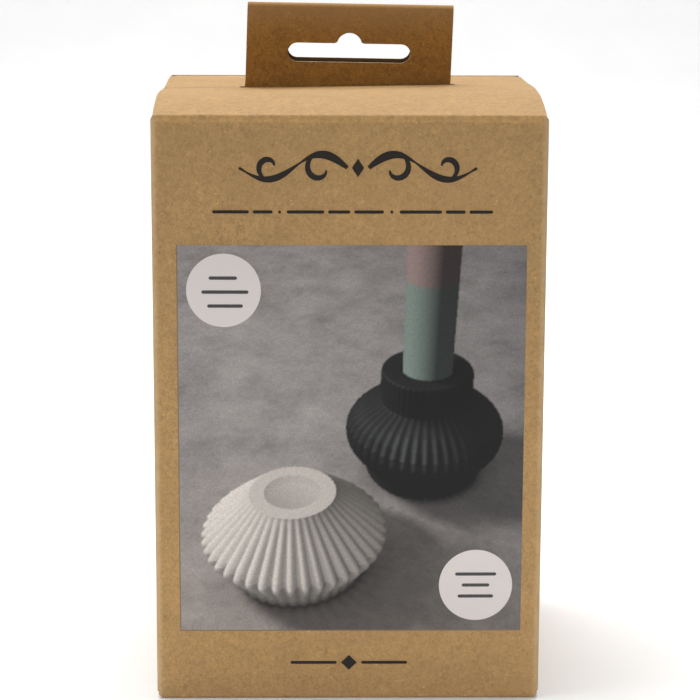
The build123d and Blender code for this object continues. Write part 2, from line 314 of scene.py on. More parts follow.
KRAFT = (0.400, 0.243, 0.098)
# the outer board takes the painted highlights, the painted shade line and the corner wear
kraft_outer = kraft("kraft_outer", KRAFT, 1.0, painted_light_and_wear=0.75, edge_light=(0.52, 0.37, 0.20))
kraft_inner = kraft("kraft_inner", (0.34, 0.21, 0.098), 1.1)
kraft_edge = kraft("kraft_cut_edge", (0.42, 0.31, 0.19), 1.4, fleck=0.2)
CARDC = (0.350, 0.172, 0.037)
# painted highlight: the card's upper part is painted lighter and greyer
card_face = kraft("dark_card_face", CARDC, 1.4, fleck=0.5, painted_top_highlight=(0.425, 0.250, 0.104))
card_inner = kraft("dark_card_inner", (0.15, 0.075, 0.028), 1.0, fleck=0.3)
# painted shade: a near-black kraft on the slot's cut edges, standing in for the hanging card's shade in the slot
slot_painted_shade = kraft("kraft_slot_painted_shade", (0.085, 0.052, 0.026), 1.3, fleck=0.2)
# the dark card's cut edges: pale raw fibre, painted paler still as a highlight where light catches them
card_edge = kraft("dark_card_cut_edge", (0.80, 0.66, 0.45), 1.2, fleck=0.2)


def silicone(name, base, rough):
    m = Nodes(name)
    obj = m.co.outputs["Object"]
    cloud = m.noise(obj, 45.0, 4.0, 0.6)
    fine = m.noise(obj, 1500.0, 3.0, 0.6)
    colour = m.mix(m.remap(cloud, 0.35, 0.65, 0.0, 1.0), tuple(c * 0.93 for c in base), tuple(min(1, c * 1.05) for c in base))
    dust = m.math("MULTIPLY", m.remap(fine, 0.6, 0.72, 0.0, 1.0), m.remap(m.noise(obj, 130.0, 2.0), 0.5, 0.62, 0.0, 0.35))
    colour = m.mix(dust, colour, tuple(min(1.0, c * 1.35 + 0.04) for c in base))
    m.link(colour, m.p.inputs["Base Color"])
    m.link(m.remap(cloud, 0.3, 0.7, rough - 0.06, rough + 0.08), m.p.inputs["Roughness"])
    m.p.inputs["Specular IOR Level"].default_value = 0.42
    m.p.inputs["Subsurface Weight"].default_value = 0.12
    m.p.inputs["Subsurface Radius"].default_value = (0.002, 0.0018, 0.0015)
    m.link(m.bump(fine, 0.12, 0.00005, m.bump(cloud, 0.05, 0.0004)), m.p.inputs["Normal"])
    return m.mat


silicone_white = silicone("silicone_white", (0.74, 0.72, 0.68), 0.46)
silicone_grey = silicone("silicone_grey", (0.22, 0.24, 0.25), 0.42)


def ink(name, base, rough=0.5, bare=0.25, under=KRAFT):
    """Printed ink with a little of the board showing through its grain."""
    m = Nodes(name)
    obj = m.co.outputs["Object"]
    fine = m.noise(obj, 4200.0, 3.0, 0.7)
    fib = m.noise(m.mapped((420, 420, 2600), (0.0, 0.12, 0.0)), 1.0, 5.0, 0.62)
    k = m.math("MULTIPLY", m.remap(fine, 0.52, 0.72, 0.0, 1.0), m.remap(fib, 0.42, 0.66, 0.15, 1.0))
    colour = m.mix(m.math("MULTIPLY", k, bare), base, tuple(c * 0.9 for c in under))
    m.link(colour, m.p.inputs["Base Color"])
    m.link(m.remap(fib, 0.3, 0.7, rough - 0.06, rough + 0.12), m.p.inputs["Roughness"])
    m.p.inputs["Specular IOR Level"].default_value = 0.35
    m.link(m.bump(fib, 0.3, 0.00006), m.p.inputs["Normal"])
    return m.mat


ink_black = ink("ink_black", (0.008, 0.005, 0.003), 0.62, 0.16)
ink_badge = ink("ink_badge", (0.645, 0.592, 0.574), 0.5, 0.35, under=(0.55, 0.50, 0.485))
ink_badge_dark = ink("ink_badge_dark", (0.045, 0.042, 0.042), 0.5, 0.25, under=(0.5, 0.46, 0.43))
# a dark brown for the thin line along the picture's left and lower edges
picture_edge_dark = ink("picture_edge_dark", (0.20, 0.135, 0.078), 0.6, 0.5)


def print_material():
    m = Nodes("printed_picture")
    obj = m.co.outputs["Object"]
    a = m.new("ShaderNodeAttribute", attribute_name="Col")
    grain = m.noise(obj, 3300.0, 3.0, 0.7)
    weave = m.noise(m.mapped((3600, 1, 900)), 1.0, 2.0, 0.5)
    weave2 = m.noise(m.mapped((900, 1, 3600)), 1.0, 2.0, 0.5)
    g = m.math("ADD", m.math("MULTIPLY", grain, 0.5), m.math("ADD", m.math("MULTIPLY", weave, 0.25), m.math("MULTIPLY", weave2, 0.25)))
    g = m.remap(g, 0.36, 0.64, 0.80, 1.20)
    tint = m.new("ShaderNodeCombineColor")
    for i in range(3):
        m.link(g, tint.inputs[i])
    colour = m.mix(1.0, a.outputs["Color"], tint.outputs[0], "MULTIPLY")
    m.link(colour, m.p.inputs["Base Color"])
    m.link(m.remap(g, 0.80, 1.20, 0.5, 0.62), m.p.inputs["Roughness"])
    m.p.inputs["Specular IOR Level"].default_value = 0.14
    m.link(m.bump(grain, 0.2, 0.00004), m.p.inputs["Normal"])
    return m.mat


picture_mat = print_material()


# ---------------------------------------------------------------- folded board from a flat blank
def mesh_object(name, verts, faces, mats, face_mats, smooth=True, sharp=35.0):
    me = bpy.data.meshes.new(name)
    me.from_pydata([tuple(v) for v in verts], [], [tuple(int(i) for i in f) for f in faces])
    for mm in mats:
        me.materials.append(mm)
    me.polygons.foreach_set("material_index", np.array(face_mats, np.int32))
    if smooth:
        me.polygons.foreach_set("use_smooth", np.ones(len(me.polygons), bool))
        me.set_sharp_from_angle(angle=math.radians(sharp))
    me.update()
    ob = bpy.data.objects.new(name, me)
    bpy.context.scene.collection.objects.link(ob)
    return ob


def blank(outline, holes, a_cuts, b_cuts):
    """Fills an outline with holes in the plane and cuts it along the given lines."""
    bm = bmesh.new()
    edges = []
    for loop in [outline, *holes]:
        vs = [bm.verts.new((p[0], p[1], 0)) for p in loop]
        edges += [bm.edges.new((vs[i], vs[(i + 1) % len(vs)])) for i in range(len(vs))]
    bmesh.ops.triangle_fill(bm, edges=edges, use_beauty=True)
    for axis, cuts in ((0, a_cuts), (1, b_cuts)):
        for c in cuts:
            co, no = [0, 0, 0], [0, 0, 0]
            co[axis], no[axis] = c, 1
            bmesh.ops.bisect_plane(bm, geom=bm.verts[:] + bm.edges[:] + bm.faces[:], dist=1e-5, plane_co=co, plane_no=no)
    bmesh.ops.dissolve_degenerate(bm, dist=1e-5, edges=bm.edges[:])
    # join what the first filling split, inside each grid cell
    bm.normal_update()
    grid = [e for e in bm.edges if len(e.link_faces) == 2]
    loose = []
    ca, cb = np.array(sorted(a_cuts)), np.array(sorted(b_cuts))
    for e in grid:
        p, q = e.verts[0].co, e.verts[1].co
        on_a = len(ca) and abs(p.x - q.x) < 1e-4 and np.min(np.abs(ca - p.x)) < 1e-4
        on_b = len(cb) and abs(p.y - q.y) < 1e-4 and np.min(np.abs(cb - p.y)) < 1e-4
        if not on_a and not on_b:
            loose.append(e)
    bmesh.ops.dissolve_edges(bm, edges=loose, use_verts=False)
    bm.verts.index_update()
    pts = np.array([(v.co.x, v.co.y) for v in bm.verts])
    faces = [[v.index for v in f.verts] for f in bm.faces]
    rim = [(e.verts[0].index, e.verts[1].index, [v.index for v in e.link_faces[0].verts]) for e in bm.edges if len(e.link_faces) == 1]
    bm.free()
    return pts, faces, rim


def board(name, outline, holes, place, thick, a_cuts, b_cuts, mats, hole_edge=2):
    """Folds a blank: place(a, b) gives points on the outer face and outward normals, in mm."""
    pts, faces, rim = blank(outline, holes, a_cuts, b_cuts)
    P, N = place(pts[:, 0], pts[:, 1])
    N = N / np.linalg.norm(N, axis=1, keepdims=True)
    Q = P - N * thick
    n = len(P)
    f0 = max(faces, key=len)
    a, b, c = P[f0[0]], P[f0[1]], P[f0[2]]
    flip = np.dot(np.cross(b - a, c - b), N[f0[0]]) < 0
    out, kinds = [], []
    for f in faces:
        g = f[::-1] if flip else f
        out.append(g)
        kinds.append(0)
        out.append([i + n for i in reversed(g)])
        kinds.append(1)
    spans = [(min(p[0] for p in h) - 1e-3, max(p[0] for p in h) + 1e-3, min(p[1] for p in h) - 1e-3, max(p[1] for p in h) + 1e-3) for h in holes]
    for i, j, f in rim:
        k = f.index(i)
        forward = f[(k + 1) % len(f)] == j
        if flip:
            forward = not forward
        out.append([j, i, i + n, j + n] if forward else [i, j, j + n, i + n])
        in_hole = any(x0 <= pts[i, 0] <= x1 and y0 <= pts[i, 1] <= y1 for x0, x1, y0, y1 in spans)
        kinds.append(hole_edge if in_hole else 2)
    return mesh_object(name, np.vstack([P, Q]) * MM, out, mats, kinds)


def arc(cx, cy, r, a0, a1, n):
    return [(cx + r * math.cos(math.radians(a0 + (a1 - a0) * i / n)), cy + r * math.sin(math.radians(a0 + (a1 - a0) * i / n))) for i in range(n + 1)]


def round_rect(x0, y0, x1, y1, r, n=6):
    return arc(x1 - r, y1 - r, r, 0, 90, n) + arc(x0 + r, y1 - r, r, 90, 180, n) + arc(x0 + r, y0 + r, r, 180, 270, n) + arc(x1 - r, y0 + r, r, 270, 360, n)


def steps(a, b, n):
    return list(np.linspace(a, b, n + 1)[1:-1])


BOARD = [kraft_outer, kraft_inner, kraft_edge]
Q8 = math.pi / 4 * R  # half of a corner's arc


def upright(half, facing, flatness):
    """Maps (s, z) onto an upright panel with half of each corner's arc at its ends. facing is the outward angle in degrees."""
    c, s_ = math.cos(math.radians(facing)), math.sin(math.radians(facing))
    out = np.array([c, s_, 0.0])
    along = np.array([-s_, c, 0.0])
    reach = hd if facing in (270, 90) else hw
    flat = half - R

    def place(s, z):
        over = np.clip(np.abs(s) - flat, 0, None) / R
        sign = np.sign(s)
        u = sign * (np.minimum(np.abs(s), flat) + R * np.sin(over))
        v = reach - R + R * np.cos(over) + flatness(np.minimum(np.abs(s), flat) * sign, z)
        P = u[:, None] * along + v[:, None] * out + np.stack([0 * z, 0 * z, z], -1)
        N = (sign * np.sin(over))[:, None] * along + np.cos(over)[:, None] * out
        return P, N

    return place


def side_bulge(s, z):
    return 0.2 * np.clip(1 - (s / (hd - R)) ** 2, 0, 1) * np.clip(1 - ((z - H / 2) / (H / 2)) ** 2, 0, 1)


def panel_cuts(half):
    flat = half - R
    return steps(-flat, flat, 24) + [-flat, flat] + [sgn * (flat + Q8 * k / 5) for sgn in (-1, 1) for k in range(1, 5)]


zfold = 1.6  # height of the lid's fold below the crease
# front: its flat part stops below the fold, its corners run on up
fe = hw - R + Q8
front_outline = [(-fe, 0.8), (fe, 0.8), (fe, H - 0.9), (fe - 0.35, H - 0.68), (LW - 0.1, H - 0.68), (LW - 0.1, H - zfold), (-LW + 0.1, H - zfold), (-LW + 0.1, H - 0.68), (-fe + 0.35, H - 0.68), (-fe, H - 0.9)]
front = board("front_panel_board", front_outline, [], upright(hw, 270, lambda s, z: bulge(s, z)), T, panel_cuts(hw), steps(0.8, H - zfold, 30), BOARD)
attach(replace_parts(front, "front_panel"), "carton")

back_outline = [(-fe, 1.42), (fe, 1.42), (fe, H - 0.5), (fe - 0.5, H), (-fe + 0.5, H), (-fe, H - 0.5)]
thumb = arc(0, H + 4.5, 13.0, 200.5, 339.5, 18)
back = board("back_panel_board", back_outline, [], upright(hw, 90, lambda s, z: bulge(s, z) * 0.7), T, panel_cuts(hw), steps(1.42, H, 30), BOARD)
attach(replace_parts(back, "back_panel"), "carton")

se = hd - R + Q8
for name, facing, node in (("left", 180, "left_side_panel"), ("right", 0, "right_side_panel")):
    dy0, dy1 = dust_lo.y / MM, dust_hi.y / MM
    # s runs with +y on the right side and with -y on the left one
    lo_s, hi_s = (dy0, dy1) if facing == 0 else (-dy1, -dy0)
    outline = [(-se, 2.04), (se, 2.04), (se, H - 1.26), (hi_s, H - 1.26), (hi_s, H - 1.42), (lo_s, H - 1.42), (lo_s, H - 1.26), (-se, H - 1.26)]
    side = board(name + "_side_board", outline, [], upright(hd, facing, side_bulge), T, panel_cuts(hd), steps(2.04, H - 1.42, 30), BOARD)
    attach(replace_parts(side, node), "carton")


# a flap folded from an upright panel's end: b < 0 lies on the panel, then the fold, then the flap
def folded(axis_up, r, sign_z, z_face, reach, out, along, lean=0.0):
    """Path: up (or down) the panel at reach, round a fold of radius r, then inwards at z_face."""
    turn = math.radians(90 + lean)

    def place(a, b):
        ang = np.clip(b / r, 0, turn)
        rest = np.clip(b - r * turn, 0, None)
        pre = np.clip(b, None, 0)
        v = reach - r + r * np.cos(ang) - rest * math.sin(turn)
        w = z_face + sign_z * (-r + r * np.sin(ang) + pre + rest * math.cos(turn))
        P = v[:, None] * out + a[:, None] * along
        P[:, 2] = P[:, 2] + w
        N = np.cos(ang)[:, None] * out
        N[:, 2] = N[:, 2] + sign_z * np.sin(ang)
        return P, N

    return place


X, Y = np.array([1.0, 0, 0]), np.array([0, 1.0, 0])
FR = 0.8
for name, sign in (("left", -1), ("right", 1)):
    out = sign * X
    dl = (dust_hi.x - dust_lo.x) / MM
    y0, y1 = dust_lo.y / MM, dust_hi.y / MM
    q = FR * math.pi / 2
    outline = [(y0, 0.0), (y0, q), (y0 + 1.3, q + 1.2), (-33.6, q + dl - 3.0), (-30.6, q + dl - FR), (36.0, q + dl - FR), (38.2, q + dl - 3.0), (y1 - 1.2, q + 1.2), (y1, q), (y1, 0.0)]
    flap = board(name + "_dust_board", outline, [], folded(1, FR, 1, H - T - 0.02, hw, out, Y), T, steps(y0, y1, 20), [q * k / 6 for k in range(1, 7)] + [q + 0.8, q + 2] + steps(q + 2, q + dl, 6), BOARD)
    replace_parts(flap, name + "_dust_flap")
    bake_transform(flap)

    # bottom flap of the same side, inside the bottom panels
    fl = (sflap_hi.x - sflap_lo.x) / MM
    outline = [(-hd + R, 0), (-hd + R, q), (-hd + 12, q + fl - 4), (-hd + 15, q + fl - FR), (hd - 15, q + fl - FR), (hd - 12, q + fl - 4), (hd - R, q), (hd - R, 0)]
    flap = board(name + "_bottom_board", outline, [], folded(1, FR, -1, sflap_lo.z / MM, hw, out, Y), T, steps(-hd, hd, 10), [q * k / 6 for k in range(1, 7)], BOARD)
    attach(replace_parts(flap, "bottom_" + name + "_flap"), "carton")

q = FR * math.pi / 2
run = (outer_hi.y / MM + hd) - FR
w0 = hw - R
outline = [(-w0, 0), (w0, 0), (w0, q), (hw - 0.35, q + 1.6), (hw - 0.35, q + run - 5), (hw - 3.5, q + run), (-hw + 3.5, q + run), (-hw + 0.35, q + run - 5), (-hw + 0.35, q + 1.6), (-w0, q)]
bottom = board("bottom_outer_board", outline, [], folded(1, FR, -1, 0.0, hd, -Y, X), T, steps(-hw, hw, 16), [q * k / 6 for k in range(1, 7)] + steps(q, q + run, 12), BOARD)
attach(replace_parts(bottom, "bottom_outer_panel"), "carton")
run = (hd - inner_lo.y / MM) - FR
outline = [(-w0, 0), (w0, 0), (w0, q), (hw - 0.7, q + 2), (hw - 0.7, q + run - 14), (hw - 6, q + run), (-hw + 6, q + run), (-hw + 0.7, q + run - 14), (-hw + 0.7, q + 2), (-w0, q)]
inner = board("bottom_inner_board", outline, [], folded(1, FR, -1, inner_lo.z / MM, hd, Y, X), T, steps(-hw, hw, 16), [q * k / 6 for k in range(1, 7)], BOARD)
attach(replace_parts(inner, "bottom_inner_panel"), "carton")

# glue flap, folded round the rear left corner and glued inside the left side
g0, g1 = glue_lo.z / MM, glue_hi.z / MM
gx = glue_lo.x / MM
gy0, gy1 = glue_lo.y / MM, glue_hi.y / MM


def glue_place(a, b):
    P = np.stack([np.full_like(a, gx) + 0.02, gy1 - a, b], -1)
    N = np.tile(np.array([-1.0, 0, 0]), (len(a), 1))
    return P, N


gl = gy1 - gy0
glue = board("glue_board", [(0, g0), (gl, g0 + 7), (gl, g1 - 8), (0, g1)], [], glue_place, T - 0.04, steps(0, gl, 4), steps(g0, g1, 10), BOARD)
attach(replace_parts(glue, "glue_flap"), "carton")

# ---------------------------------------------------------------- lid, with its fold from the front
FL = 0.6
BAND, LEAN = 1.25, 0.36  # scored band below the crease, and how far it leans in by its top
slope = math.atan2(float(bow_left(-41.0)), 3.0)
turn = math.pi / 2 - slope
b_arc = BAND + FL * (turn - LEAN)


def fold_angle(b):
    t = np.clip(b / BAND, 0, 1)
    return np.where(b < BAND, LEAN * t, np.clip(LEAN + (b - BAND) / FL, 0, turn))


fold_t = np.linspace(0, b_arc, 400)
fold_a = fold_angle(fold_t)
fold_in = np.concatenate([[0], np.cumsum(np.diff(fold_t) * np.sin((fold_a[1:] + fold_a[:-1]) / 2))])
fold_up = np.concatenate([[0], np.cumsum(np.diff(fold_t) * np.cos((fold_a[1:] + fold_a[:-1]) / 2))])
fold_y = -hd + float(fold_in[-1])
b_up = zfold + float(bow_left(fold_y)) - float(fold_up[-1])
b0 = b_up + b_arc
lid_end = LB - 1.2
b_end = b0 + (lid_end - fold_y)


def lid_place(a, b):
    t = np.clip(b - b_up, 0, b_arc)
    ang = fold_angle(t)
    y_lid = fold_y + np.clip(b - b0, 0, None)
    on_lid = b > b0 + 1e-9
    y = np.where(on_lid, y_lid, -hd + np.interp(t, fold_t, fold_in))
    base = H - zfold + np.clip(b, 0, b_up) + np.interp(t, fold_t, fold_up)
    # the fold's own height varies a little with the bow so that both meet
    z = np.where(on_lid, H + bow(a, y_lid), base + np.clip(t / b_arc, 0, 1) * (H + bow(a, np.full_like(a, fold_y)) - (H - zfold + b_up + fold_up[-1])))
    e = 0.15
    dz_dy = (bow(a, y_lid + e) - bow(a, y_lid - e)) / (2 * e)
    dz_dx = (bow(a + e, y_lid) - bow(a - e, y_lid)) / (2 * e)
    n_lid = np.stack([-dz_dx, -dz_dy, np.ones_like(a)], -1)
    n_lid /= np.linalg.norm(n_lid, axis=1, keepdims=True)
    n_fold = np.stack([0 * a, -np.cos(ang), np.sin(ang)], -1)
    near = np.clip((b - b0) / 1.5, 0, 1)[:, None]
    N = np.where(on_lid[:, None], n_fold * (1 - near) + n_lid * near, n_fold)
    x = a + 0 * b
    # the front's slight bulge carries on over the fold
    y = y - bulge(a, np.full_like(a, H - zfold)) * np.clip(1 - b / b0, 0, 1)
    return np.stack([x, y, z], -1), N


def b_of(y):
    return b0 + (y - fold_y)


lid_outline = (
    [(-LW, 0.0), (LW, 0.0), (LW, b0 + 1.0), (LW, b_of(LB - 4.2))]
    + [(LW - 0.7, b_of(LB - 2.4)), (LW - 1.5, b_end)]
    + [(-LW + 1.5, b_end), (-LW + 0.7, b_of(LB - 2.4)), (-LW, b_of(LB - 4.2)), (-LW, b0 + 1.0)]
)
SH, SD = 28.2, 1.7
slot_hole = round_rect(-SH, b_of(HY - SD), SH, b_of(HY + SD + 0.5), 0.45)
# painted shade: the slot's rims take the near-black slot material, index 3
lid = board(
    "lid_board",
    lid_outline,
    [slot_hole],
    lid_place,
    T,
    steps(-LW, LW, 60),
    [b_up] + [b_up + BAND * k / 5 for k in range(1, 6)] + [b_up + BAND + (b_arc - BAND) * k / 8 for k in range(1, 8)] + [b0, b0 + 0.4, b0 + 0.9] + steps(b0 + 0.9, b_end, 70),
    BOARD + [slot_painted_shade],
    3,
)
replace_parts(lid, "lid_panel")
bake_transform(lid)

# tuck flap with the lid's rear fold
lean = math.radians(10)
TR = 0.95
t_turn = math.pi / 2 + lean
t_pre = LB - TR - lid_end


def tuck_place(a, b):
    ang = np.clip((b - t_pre) / TR, 0, t_turn)
    rest = np.clip(b - t_pre - TR * t_turn, 0, None)
    pre = np.clip(b, 0, t_pre)
    y = lid_end + pre + TR * np.sin(ang) + rest * math.cos(t_turn)
    z = H - TR + TR * np.cos(ang) - rest * math.sin(t_turn)
    P = np.stack([a + 0 * b, y, z], -1)
    N = np.stack([0 * a, np.sin(ang), np.cos(ang)], -1)
    return P, N


t_fold = t_pre + TR * t_turn
tl = 13.0
tw = tuck_hi.x / MM
t_out = [(-LW + 1.5, 0), (LW - 1.5, 0), (tw, t_pre + 0.8), (tw, t_fold + tl - 7.5)] + arc(tw - 7.5, t_fold + tl - 7.5, 7.5, 0, 90, 10)[1:] + arc(-tw + 7.5, t_fold + tl - 7.5, 7.5, 90, 180, 10) + [(-tw, t_fold + tl - 7.5), (-tw, t_pre + 0.8)]
t_out = [p for i, p in enumerate(t_out) if i == 0 or math.hypot(p[0] - t_out[i - 1][0], p[1] - t_out[i - 1][1]) > 1e-6]
tuck = board("lid_tuck_board", t_out, [], tuck_place, T, steps(-tw, tw, 24), [t_pre] + [t_pre + TR * t_turn * k / 8 for k in range(1, 9)] + steps(t_fold, t_fold + tl, 4), BOARD)
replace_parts(tuck, "lid_tuck_flap")
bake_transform(tuck)

# ---------------------------------------------------------------- hanging card
FO = rear_hi.y / MM - HY  # from the slot's middle to a leaf's outer face
FI = FO - CARD
BR = 0.6  # bend between a leaf and its foot, outer face's inner radius
top_z = HTOP - FO - 0.05
foot_run = (HY - FO - BR) - foot_lo.y / MM
rfoot_run = rfoot_hi.y / MM - (HY + FO + BR)
foot_z = FOOT - CARD - 0.02  # underside of the feet is the card's outer face
bend = math.pi / 2 * (BR + 0.0)
leaf_run = top_z - (FOOT - 0.02 + BR)
L1 = foot_run
L2 = L1 + bend
L3 = L2 + leaf_run
L4 = L3 + math.pi * FO
L5 = L4 + leaf_run
L6 = L5 + bend
L7 = L6 + rfoot_run
tilt = math.radians(0.92)
tab_dx = 0.75
TAB_X = 0.2
REAR_UP = 0.95  # the rear leaf's slot sits a little higher than the front's


def card_place(a, b):
    # outer face: top of the front foot, round the bend, up the front leaf, over, down the rear leaf, and out
    y = np.zeros_like(b)
    z = np.zeros_like(b)
    ny = np.zeros_like(b)
    nz = np.zeros_like(b)
    zf = FOOT - 0.02
    m = b <= L1
    y[m], z[m], ny[m], nz[m] = HY - FO - BR - (L1 - b[m]), zf, 0, 1
    m = (b > L1) & (b <= L2)
    t = (b[m] - L1) / BR
    y[m], z[m], ny[m], nz[m] = HY - FO - BR + BR * np.sin(t), zf + BR - BR * np.cos(t), -np.sin(t), np.cos(t)
    m = (b > L2) & (b <= L3)
    y[m], z[m], ny[m], nz[m] = HY - FO, zf + BR + (b[m] - L2), -1, 0
    m = (b > L3) & (b <= L4)
    t = (b[m] - L3) / FO
    y[m], z[m], ny[m], nz[m] = HY - FO * np.cos(t), top_z + FO * np.sin(t), -np.cos(t), np.sin(t)
    m = (b > L4) & (b <= L5)
    y[m], z[m], ny[m], nz[m] = HY + FO, top_z - (b[m] - L4), 1, 0
    m = (b > L5) & (b <= L6)
    t = (b[m] - L5) / BR
    y[m], z[m], ny[m], nz[m] = HY + FO + BR - BR * np.cos(t), zf + BR - BR * np.sin(t), np.cos(t), np.sin(t)
    m = b > L6
    y[m], z[m], ny[m], nz[m] = HY + FO + BR + (b[m] - L6), zf, 0, 1
    # the leaves are a touch bowed and stand slightly askew
    k = np.clip((z - FOOT - 1.0) / (HTOP - FOOT), 0, 1)
    y = y + 0.25 * k * np.cos(a / HW * 1.3) * np.where(ny < 0, -0.6, 0.2) * np.clip(1 - (z - top_z + 1.5) / 1.5, 0, 1)
    w = np.clip((z - FOOT) / 2.0, 0, 1)
    x = a + TAB_X * w + tab_dx * k
    z = z - a * math.tan(tilt) * w
    P = np.stack([x, y, z], -1)
    N = np.stack([0 * a, ny, nz], -1)
    return P, N


EH, EZ = 16.0, HTOP - 12.8
er = 2.45
bump_r, bump_top = 3.3, EZ + 5.2


def euro(b_from_z, sign):
    """The euro slot's outline, in blank coordinates."""
    pts = []
    zc = EZ
    pts += arc(EH - er, zc, er, -90, 90, 10)
    neck = zc + er
    pts += [(bump_r + 0.5, neck), (bump_r + 0.12, neck + 0.2)]
    pts += arc(0, bump_top - bump_r, bump_r, 0, 180, 12) if bump_top - bump_r > neck + 0.2 else [(x, max(y, neck + 0.2)) for x, y in arc(0, bump_top - bump_r, bump_r, 0, 180, 12)]
    pts += [(-bump_r - 0.12, neck + 0.2), (-bump_r - 0.5, neck)]
    pts += arc(-EH + er, zc, er, 90, 270, 10)
    return [(x, b_from_z(z)) for x, z in pts]


zf0 = FOOT - 0.02 + BR
front_b = lambda z: L2 + (z - zf0)
rear_b = lambda z: L4 + (top_z - z - REAR_UP)
wf = HW + 5.0
card_outline = (
    [(-wf + 1, 0), (wf - 1, 0), (wf, 1.0), (wf, L1 - 4.4), (HW + 0.4, L1 - 2.6), (HW, L1 - 1.6), (HW, L1)]
    + [(HW, L3 - 0.5), (HW - 0.06, (L3 + L4) / 2), (HW, L4 + 0.5)]
    + [(HW, L6), (HW, L6 + 1.6), (HW + 0.4, L6 + 2.6), (wf, L6 + 4.4), (wf, L7 - 1), (wf - 1, L7), (-wf + 1, L7), (-wf, L7 - 1), (-wf, L6 + 4.4), (-HW - 0.4, L6 + 2.6), (-HW, L6 + 1.6), (-HW, L6)]
    + [(-HW, L4 + 0.5), (-HW + 0.06, (L3 + L4) / 2), (-HW, L3 - 0.5)]
    + [(-HW, L1), (-HW, L1 - 1.6), (-HW - 0.4, L1 - 2.6), (-wf, L1 - 4.4), (-wf, 1.0)]
)
card_ob = board(
    "hanging_card",
    card_outline,
    [euro(front_b, 1), euro(rear_b, -1)],
    card_place,
    CARD,
    steps(-HW, HW, 36),
    [L1, L2, L3, L4, L5, L6] + [L1 + bend * k / 6 for k in range(1, 6)] + steps(L2, L3, 14) + [L3 + (L4 - L3) * k / 14 for k in range(1, 14)] + steps(L4, L5, 14) + [L5 + bend * k / 6 for k in range(1, 6)],
    [card_face, card_inner, card_edge],
)
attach(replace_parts(card_ob, "hang_front_leaf", "hang_rear_leaf", "hang_front_foot", "hang_rear_foot"), "hanger")


# ---------------------------------------------------------------- moulds
def mould(name, node, body, mat, ribs, sections, floor, height, r_bottom, r_top, post_h, per_rib=10):
    lo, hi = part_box(node)
    z0 = lo.z / MM
    zt = hi.z / MM
    hs = np.array([s[0] for s in sections], float)
    crest = pchip(hs, [s[1] for s in sections])
    valley = pchip(hs, [s[2] for s in sections])
    prof = []  # (radius, z, rib weight, height above the cavity's floor)
    prof += [(0.0, z0 + 0.6, 0, 0), (r_bottom * 0.5, z0 + 0.6, 0, 0), (r_bottom - 7.0, z0 + 0.6, 0, 0), (r_bottom - 6.0, z0, 0, 0)]
    prof += [(r_bottom - 1.5, z0, 0, 0)] + [(r_bottom - 1.5 + 1.5 * math.sin(t), z0 + 1.5 - 1.5 * math.cos(t), 0, 0) for t in np.linspace(0, math.pi / 2, 6)[1:]]
    wall = [(r_bottom + (r_top - 1.0 - r_bottom) * k, z0 + 1.5 + (zt - 5.5 - z0 - 1.5) * k, 0, 0) for k in np.linspace(0, 1, 16)[1:]]
    prof += wall
    prof += [(r_top - 0.75, zt - 4.9, 0, 0), (r_top - 0.15, zt - 4.3, 0, 0), (r_top, zt - 3.7, 0, 0)]
    prof += [(r_top, zt - 0.9, 0, 0)] + [(r_top - 0.9 + 0.9 * math.cos(t), zt - 0.9 + 0.9 * math.sin(t), 0, 0) for t in np.linspace(0, math.pi / 2, 6)[1:]]
    mouth = float(crest(height))
    prof += [(mouth + (r_top - 0.9 - mouth) * k, zt, 0, 0) for k in (0.66, 0.33)]
    prof += [(mouth + 0.9, zt, 0.0, height), (mouth + 0.25, zt - 0.25, 0.6, height)]
    for h in np.linspace(height - 0.9, 0.9, 70):
        prof.append((None, z0 + floor + h, 1.0, h))
    prof += [(float(valley(0)) - 0.3, z0 + floor + 0.25, 0.5, 0), (float(valley(0)) - 1.2, z0 + floor, 0, 0), (12.4, z0 + floor, 0, 0), (11.4, z0 + floor + 0.3, 0, 0), (11.0, z0 + floor + 1.2, 0, 0)]
    prof += [(11.0 - 0.4 * k, z0 + floor + 1.2 + (post_h - 2.4) * k, 0, 0) for k in (0.33, 0.66, 1.0)]
    prof += [(10.3, z0 + floor + post_h - 0.4, 0, 0), (9.6, z0 + floor + post_h, 0, 0), (4.0, z0 + floor + post_h, 0, 0), (0.0, z0 + floor + post_h, 0, 0)]
    nt = ribs * per_rib
    th = np.arange(nt) * 2 * math.pi / nt
    wave = 0.5 + 0.5 * np.cos(ribs * th)
    wave = wave**0.8
    verts, rings = [], []
    for r, z, w, h in prof:
        if r == 0.0:
            rings.append([len(verts)])
            verts.append((0, 0, z))
            continue
        c, v = float(crest(h)), float(valley(h))
        if r is None:
            rad = v + (c - v) * wave
        else:
            rad = r - w * (c - v) * 0.5 * (1 - wave)
        rings.append(list(range(len(verts), len(verts) + nt)))
        rad = np.broadcast_to(rad, (nt,))
        verts += list(zip(rad * np.cos(th), rad * np.sin(th), np.full(nt, z)))
    faces = []
    for a, b in zip(rings, rings[1:]):
        if len(a) == 1:
            faces += [(a[0], b[(i + 1) % nt], b[i]) for i in range(nt)]
        elif len(b) == 1:
            faces += [(a[i], a[(i + 1) % nt], b[0]) for i in range(nt)]
        else:
            faces += [(a[i], a[(i + 1) % nt], b[(i + 1) % nt], b[i]) for i in range(nt)]
    ob = mesh_object(name, np.array(verts) * MM, faces, [mat], [0] * len(faces), sharp=50)
    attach(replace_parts(ob, node), body)
    return ob


